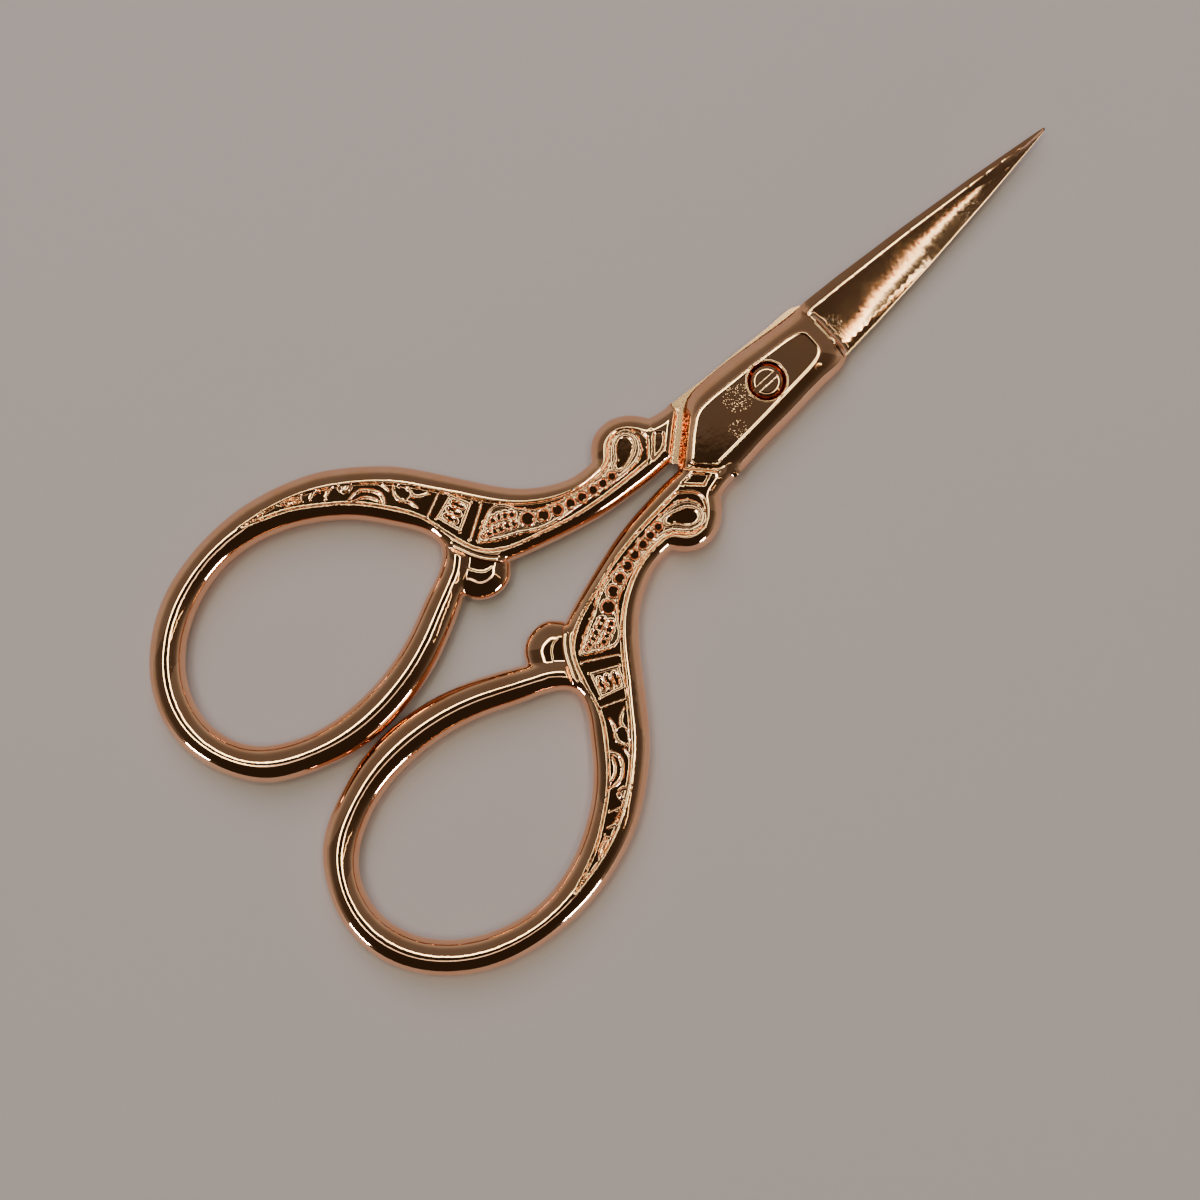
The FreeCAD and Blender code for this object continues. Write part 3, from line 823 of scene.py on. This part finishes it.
# ---- screw ----
def screw_mesh(name):
    """Slotted screw: domed head with a rounded rim and a sawn slot, shank flush at the back."""
    seat = THICK - COUNTERBORE_DEPTH + HEAD_GAP
    rim_z = seat + HEAD_H
    half_slot = SLOT_W / 2
    slot_z = rim_z + HEAD_CROWN - SLOT_DEPTH
    lip = 0.012                    # fall and width of the slot's worn edge

    def dome(r):
        fall = 0.30 * np.where(r < 1.3, np.clip(r - 1.1, 0, None) ** 2 / 0.4, r - 1.2)
        return rim_z + HEAD_CROWN - fall - 0.05 * (1 - quarter((HEAD_R - r) / 0.12))

    # plan of the head, with lines along both edges of the slot
    ys = np.linspace(-1, 1, 25)
    points = []
    for x in (-half_slot, half_slot):
        for out, clear in ((0.035, 0.02), (0.0, 0.02), (-lip, lip)):
            side = x + math.copysign(1, x) * out
            reach = math.sqrt(HEAD_R ** 2 - side ** 2) - clear
            points.append(np.column_stack([np.full(len(ys), side), ys * reach]))
    for r in (1.53, 1.49, 1.44, 1.36, 1.3, 1.25, 1.2, 1.15, 1.1, 1.0, 0.8, 0.6, 0.4, 0.2):
        points.append(circle(r, int(RING_STEPS * r / HEAD_R)))
    points = thin_out(np.vstack(points), 0.011)
    points = points[np.hypot(*points.T) < HEAD_R - 0.006]
    plan, tris, loops = triangulate([circle(HEAD_R)], points)
    top = dome(np.minimum(np.hypot(*plan.T), HEAD_R))
    gap = np.abs(plan[:, 0])
    top = np.where(gap < half_slot - 0.006, slot_z, top - lip * (1 - smooth((gap - half_slot) / 0.05)))

    # rim, underside of the head and shank, closed by a fan at the tail
    verts = [np.column_stack([plan, top])]
    faces = tris.tolist()
    rings = [loops[0]]
    base = len(plan)
    profile = [
        (HEAD_R, seat + 0.30), (HEAD_R, seat + 0.04), (HEAD_R - 0.04, seat), (SHANK_R, seat),
        (SHANK_R, 0.06), (SHANK_R - 0.06, 0.0)]
    for radius, z in profile:
        verts.append(np.column_stack([circle(radius), np.full(RING_STEPS, z)]))
        rings.append(list(range(base, base + RING_STEPS)))
        base += RING_STEPS
    following = [(k, (k + 1) % RING_STEPS) for k in range(RING_STEPS)]
    for a, b in zip(rings, rings[1:]):
        faces += [[a[k], a[m], b[m], b[k]] for k, m in following]
    verts.append(np.array([[0, 0, 0.0]]))
    faces += [[rings[-1][k], rings[-1][m], base] for k, m in following]
    return shaded(name, np.vstack(verts), faces)


# ---- node helpers ----
class Nodes:
    """Short calls for building a node tree."""

    def __init__(self, tree):
        self.tree = tree
        tree.nodes.clear()

    def add(self, kind, **settings):
        node = self.tree.nodes.new(kind)
        for key, value in settings.items():
            setattr(node, key, value)
        return node

    def link(self, a, b):
        """Connects an output, or sets a plain number or colour."""
        if isinstance(a, (int, float, tuple)):
            b.default_value = a
        else:
            self.tree.links.new(a, b)

    def math(self, operation, a, b=0.0):
        node = self.add("ShaderNodeMath", operation=operation)
        self.link(a, node.inputs[0])
        self.link(b, node.inputs[1])
        return node.outputs[0]

    def times(self, a, b):
        return self.math("MULTIPLY", a, b)

    def total(self, *terms):
        """Sum of the terms, from left to right."""
        out = terms[0]
        for term in terms[1:]:
            out = self.math("ADD", out, term)
        return out

    def ramp(self, value, low, high):
        """Smooth 0 to 1 step between low and high."""
        node = self.add("ShaderNodeMapRange", interpolation_type="SMOOTHSTEP")
        self.link(value, node.inputs["Value"])
        node.inputs["From Min"].default_value = low
        node.inputs["From Max"].default_value = high
        return node.outputs[0]

    def noise(self, vector, scale, detail=2.0, rough=0.5, stretch=None):
        if stretch:
            mapping = self.add("ShaderNodeMapping")
            self.link(vector, mapping.inputs[0])
            mapping.inputs["Scale"].default_value = stretch
            vector = mapping.outputs[0]
        node = self.add("ShaderNodeTexNoise")
        self.link(vector, node.inputs["Vector"])
        node.inputs["Scale"].default_value = scale
        node.inputs["Detail"].default_value = detail
        node.inputs["Roughness"].default_value = rough
        return node.outputs[0]

    def mix(self, factor, a, b):
        node = self.add("ShaderNodeMix", data_type="RGBA")
        self.link(factor, node.inputs["Factor"])
        self.link(a, node.inputs[6])                # A, B and Result of the colour version
        self.link(b, node.inputs[7])
        return node.outputs[2]

    def mark(self, name):
        return self.add("ShaderNodeAttribute", attribute_name=name).outputs["Fac"]


def material(name):
    """New material and its empty node tree."""
    made = bpy.data.materials.new(name)
    made.use_nodes = True
    return made, Nodes(made.node_tree)


GOLD = (0.94, 0.53, 0.33, 1)
GOLD_DEEP = (0.90, 0.47, 0.27, 1)
GOLD_PALE = (0.92, 0.50, 0.34, 1)
GOLD_GROUND = (0.95, 0.58, 0.40, 1)
# painted shade colour for the walls of the pivot bore
BORE_SHADE = (0.40, 0.13, 0.05, 1)
PITTED = [(-0.7, -3.2, 1.7), (1.6, -5.2, 1.1), (1.3, 25.8, 1.9), (0.3, 8.3, 1.5)]   # (x, y, reach)
PAPER_LOW, PAPER_HIGH = (0.468, 0.385, 0.425, 1), (0.494, 0.405, 0.444, 1)


def plating(name):
    """Mirror rose-gold plating: faint orange peel, hairlines, grainy casting in the relief,
    ground blade face, small pits where the plating is thin, and painted shade down the pivot bore."""
    made, n = material(name)
    place = n.add("ShaderNodeTexCoord").outputs["Object"]
    scaled = n.add("ShaderNodeVectorMath", operation="SCALE")
    n.link(place, scaled.inputs[0])
    scaled.inputs["Scale"].default_value = 1 / MM
    mm = scaled.outputs[0]

    bore, grainy, ground, mating = (n.mark(m) for m in MARKS)
    cloud = n.noise(mm, 0.35, 3)
    peel = n.noise(mm, 1.4, 2)
    fine = n.noise(mm, 9.0, 4, 0.65)
    hair = n.noise(mm, 4.0, 3, 0.6, stretch=(6.0, 0.5, 1.0))
    grind = n.noise(mm, 7.0, 3, 0.7, stretch=(0.25, 3.0, 1.0))
    pits = n.noise(mm, 8.0, 0.5, 0.5)

    sep = n.add("ShaderNodeSeparateXYZ")
    n.link(mm, sep.inputs[0])
    patch = 0.0
    for x, y, reach in PITTED:
        dx = n.math("SUBTRACT", sep.outputs[0], x)
        dy = n.math("SUBTRACT", sep.outputs[1], y)
        near = n.math("SQRT", n.total(n.times(dx, dx), n.times(dy, dy)))
        one = n.math("SUBTRACT", 1.0, n.ramp(near, reach * 0.5, reach))
        patch = n.math("MAXIMUM", patch, one)
    pit = n.times(patch, n.ramp(pits, 0.66, 0.71))

    colour = n.mix(n.ramp(cloud, 0.3, 0.75), GOLD, GOLD_DEEP)
    colour = n.mix(n.times(grainy, 0.75), colour, GOLD_PALE)
    colour = n.mix(n.times(ground, 0.7), colour, GOLD_GROUND)
    colour = n.mix(n.times(pit, 0.8), colour, GOLD_PALE)
    # painted shade: darker copper down the pivot bore, standing in for the shade in that recess
    colour = n.mix(bore, colour, BORE_SHADE)

    rough = n.total(
        0.035, n.times(n.ramp(cloud, 0.35, 0.75), 0.02), n.times(n.ramp(hair, 0.55, 0.8), 0.03),
        n.times(grainy, 0.05), n.times(ground, 0.01), n.times(mating, 0.15), n.times(pit, 0.25))

    # bump height in millimetres
    wheel = n.math("MAXIMUM", ground, mating)
    wobble = n.noise(mm, 1.1, 3, 0.6)
    height = n.total(
        n.times(peel, 0.0018), n.times(hair, 0.00006), n.times(n.times(fine, grainy), 0.0035),
        n.times(n.times(grind, wheel), 0.0002), n.times(n.times(wobble, ground), 0.0035))
    height = n.math("SUBTRACT", height, n.times(pit, 0.004))
    bump = n.add("ShaderNodeBump")
    bump.inputs["Strength"].default_value = 1.0
    bump.inputs["Distance"].default_value = MM
    n.link(height, bump.inputs["Height"])

    shader = n.add("ShaderNodeBsdfPrincipled")
    shader.inputs["Metallic"].default_value = 1.0
    n.link(colour, shader.inputs["Base Color"])
    n.link(rough, shader.inputs["Roughness"])
    n.link(bump.outputs[0], shader.inputs["Normal"])
    out = n.add("ShaderNodeOutputMaterial")
    n.link(shader.outputs[0], out.inputs[0])
    return made


def paper():
    """Pale matt paper with a faint tooth."""
    made, n = material("pale_paper")
    place = n.add("ShaderNodeTexCoord").outputs["Object"]
    tooth = n.noise(place, 900.0, 3)
    cloud = n.noise(place, 9.0, 2)
    shader = n.add("ShaderNodeBsdfPrincipled")
    n.link(n.mix(cloud, PAPER_LOW, PAPER_HIGH), shader.inputs["Base Color"])
    shader.inputs["Roughness"].default_value = 0.85
    bump = n.add("ShaderNodeBump")
    bump.inputs["Strength"].default_value = 0.25
    bump.inputs["Distance"].default_value = 0.05 * MM
    n.link(tooth, bump.inputs["Height"])
    n.link(bump.outputs[0], shader.inputs["Normal"])
    out = n.add("ShaderNodeOutputMaterial")
    n.link(shader.outputs[0], out.inputs[0])
    return made


# ---- studio ----
VIEW_RIGHT = Vector((0.6746, 0.7378, 0.0))
VIEW_UP = Vector((-0.7378, 0.6746, 0.0))
TARGET = Vector((4.69, -26.25, 1.8)) * MM
EYE = Vector((13.0, -24.5, 225.0)) * MM
FRAME_WIDTH = 117.1 * MM
SENSOR = 36.0
FLOOR_REACH, FLOOR_DROP = 4.0, 0.02 * MM
# brightness of the room: all round, overhead, low walls, ring of light and leaning streak
DARK, ZENITH, ROOM, STRIP, LAMP = 0.026, 0.080, 0.25, 12.5, 9.0
WARM_DARK, WARM_LIGHT, RING_TINT = (1.0, 0.78, 0.50, 1), (1.0, 0.93, 0.80, 1), (0.88, 1.0, 0.66, 1)
STREAK_LOW, STREAK_HIGH = (0.60, 0.28, 0.03, 1), (0.90, 1.0, 0.68, 1)
LIGHT_AIM = (0.005, -0.02, 0)
LIGHTS = [                         # (name, place, width, height, watts)
    ("window_right", (0.60, -0.05, 0.10), 0.14, 0.07, 2.6),
    ("window_front", (0.02, -0.62, 0.12), 0.14, 0.07, 2.2),
    ("soft_key", (-0.45, 0.25, 0.60), 0.6, 0.6, 3.7)]


def camera():
    made = bpy.data.objects.new("camera", bpy.data.cameras.new("camera"))
    bpy.context.collection.objects.link(made)
    back = (EYE - TARGET).normalized()
    right = VIEW_RIGHT - back * VIEW_RIGHT.dot(back)
    right.normalize()
    up = back.cross(right)
    made.matrix_world = Matrix((
        (right.x, up.x, back.x, EYE.x),
        (right.y, up.y, back.y, EYE.y),
        (right.z, up.z, back.z, EYE.z),
        (0, 0, 0, 1)))
    made.data.lens = SENSOR * (EYE - TARGET).length / FRAME_WIDTH
    made.data.clip_start = 0.005
    bpy.context.scene.camera = made


def floor():
    r = FLOOR_REACH
    mesh = bpy.data.meshes.new("floor")
    mesh.from_pydata([(-r, -r, 0), (r, -r, 0), (r, r, 0), (-r, r, 0)], [], [(0, 1, 2, 3)])
    made = bpy.data.objects.new("floor", mesh)
    made.location.z = CAD_BOX[0].z - FLOOR_DROP
    mesh.materials.append(paper())
    bpy.context.collection.objects.link(made)


def light(name, place, width, height, watts):
    """Area light.  The windows show only in reflections, the soft light only on matt surfaces."""
    lamp = bpy.data.lights.new(name, "AREA")
    lamp.shape = "RECTANGLE"
    lamp.size, lamp.size_y = width, height
    lamp.energy = watts
    holder = bpy.data.objects.new(name, lamp)
    holder.location = place
    holder.rotation_euler = (Vector(LIGHT_AIM) - Vector(place)).to_track_quat("-Z", "Y").to_euler()
    holder.visible_camera = False
    holder.visible_glossy = not name.startswith("soft")
    holder.visible_diffuse = name.startswith("soft")
    bpy.context.collection.objects.link(holder)


def room():
    """World: a dim warm room with a ring of light round the zenith and a leaning streak."""
    world = bpy.data.worlds.new("studio")
    world.use_nodes = True
    bpy.context.scene.world = world
    n = Nodes(world.node_tree)
    way = n.add("ShaderNodeTexCoord").outputs["Generated"]
    sep = n.add("ShaderNodeSeparateXYZ")
    n.link(way, sep.inputs[0])
    z = sep.outputs[2]

    def towards(vector):
        dot = n.add("ShaderNodeVectorMath", operation="DOT_PRODUCT")
        n.link(way, dot.inputs[0])
        dot.inputs[1].default_value = vector
        return dot.outputs["Value"]

    def between(value, low, high, soft):
        rise = n.ramp(value, low - soft, low + soft)
        return n.times(rise, n.math("SUBTRACT", 1.0, n.ramp(value, high - soft, high + soft)))

    far, right = towards(VIEW_UP), towards(VIEW_RIGHT)
    level = n.math("MAXIMUM", z, 0.02)
    far_t = n.math("DIVIDE", far, level)                     # tangents
    right_t = n.math("DIVIDE", right, level)
    flat = n.math("SQRT", n.math("MAXIMUM", n.math("SUBTRACT", 1.0, n.times(z, z)), 1e-6))
    side = n.math("DIVIDE", far, flat)                       # 1 at the far wall, -1 at the viewer's
    tilt = n.math("DIVIDE", flat, level)                     # tangent from the zenith

    bright = n.total(DARK, n.times(n.ramp(far_t, 0.086, 0.096), ZENITH))
    walls = n.total(0.05, n.times(n.ramp(tilt, 0.8, 5.0), ROOM))
    walls = n.times(n.times(walls, n.ramp(side, -0.85, -0.15)), n.ramp(tilt, 0.20, 0.26))
    ring_side = n.total(0.15, n.times(n.ramp(side, -0.85, -0.45), 0.85))
    ring = n.times(between(tilt, 0.228, 0.325, 0.012), ring_side)
    # the streak that the hollow of the ground face picks up
    lean = n.math("SUBTRACT", right_t, 0.45)
    lean = n.total(n.times(lean, 0.40), n.times(n.math("MAXIMUM", lean, 0.0), 0.31))
    lean = n.total(n.total(far_t, 0.13), lean)
    streak = n.times(between(right_t, 0.28, 0.95, 0.02), between(lean, -0.012, 0.009, 0.003))
    bright = n.total(bright, walls, n.times(ring, STRIP), n.times(streak, LAMP))
    bright = n.times(bright, n.ramp(z, -0.25, 0.0))

    tint = n.mix(n.ramp(bright, 0.02, 0.12), WARM_DARK, WARM_LIGHT)
    tint = n.mix(ring, tint, RING_TINT)
    tint = n.mix(streak, tint, n.mix(n.ramp(lean, -0.008, 0.004), STREAK_LOW, STREAK_HIGH))
    back = n.add("ShaderNodeBackground")
    n.link(tint, back.inputs["Color"])
    n.link(bright, back.inputs["Strength"])
    out = n.add("ShaderNodeOutputWorld")
    n.link(back.outputs[0], out.inputs[0])


# ---- build ----
def piece(name, mesh, body, look, node):
    """Visible piece that rides a body and stands for one CAD node."""
    made = bpy.data.objects.new(name, mesh)
    bpy.context.collection.objects.link(made)
    mesh.materials.append(look)
    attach(made, body)
    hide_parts(node)


camera()
floor()
for settings in LIGHTS:
    light(*settings)
room()

# the pivot hole in each half, from the outer face in: (radius, z)
FRONT_BORE = [
    (2.00, PANEL_Z + 0.02), (1.96, PANEL_Z + 0.025), (1.92, PANEL_Z + 0.01), (1.88, PANEL_Z - 0.04),
    (1.86, PANEL_Z - 0.12), (1.86, SEAT_Z + 0.06), (1.80, SEAT_Z), (BORE_R, SEAT_Z), (BORE_R, LOW_Z)]
REAR_R = SHANK_R + 0.005
REAR_BORE = [(SHANK_R + 0.06, PANEL_Z), (REAR_R, PANEL_Z - 0.05), (REAR_R, LOW_Z)]

steel = plating("rose_gold_plating")
half = half_shell()
front = half_mesh("front_half_look", half, FRONT_BORE)
rear = half_mesh("rear_half_look", half, REAR_BORE, turned=True)
piece("front_half_look", front, "front", steel, "front_half")
piece("rear_half_look", rear, "rear", steel, "rear_half")
screw = screw_mesh("pivot_screw_look")
piece("pivot_screw_look", screw, "rear", plating("rose_gold_screw"), "pivot_screw")
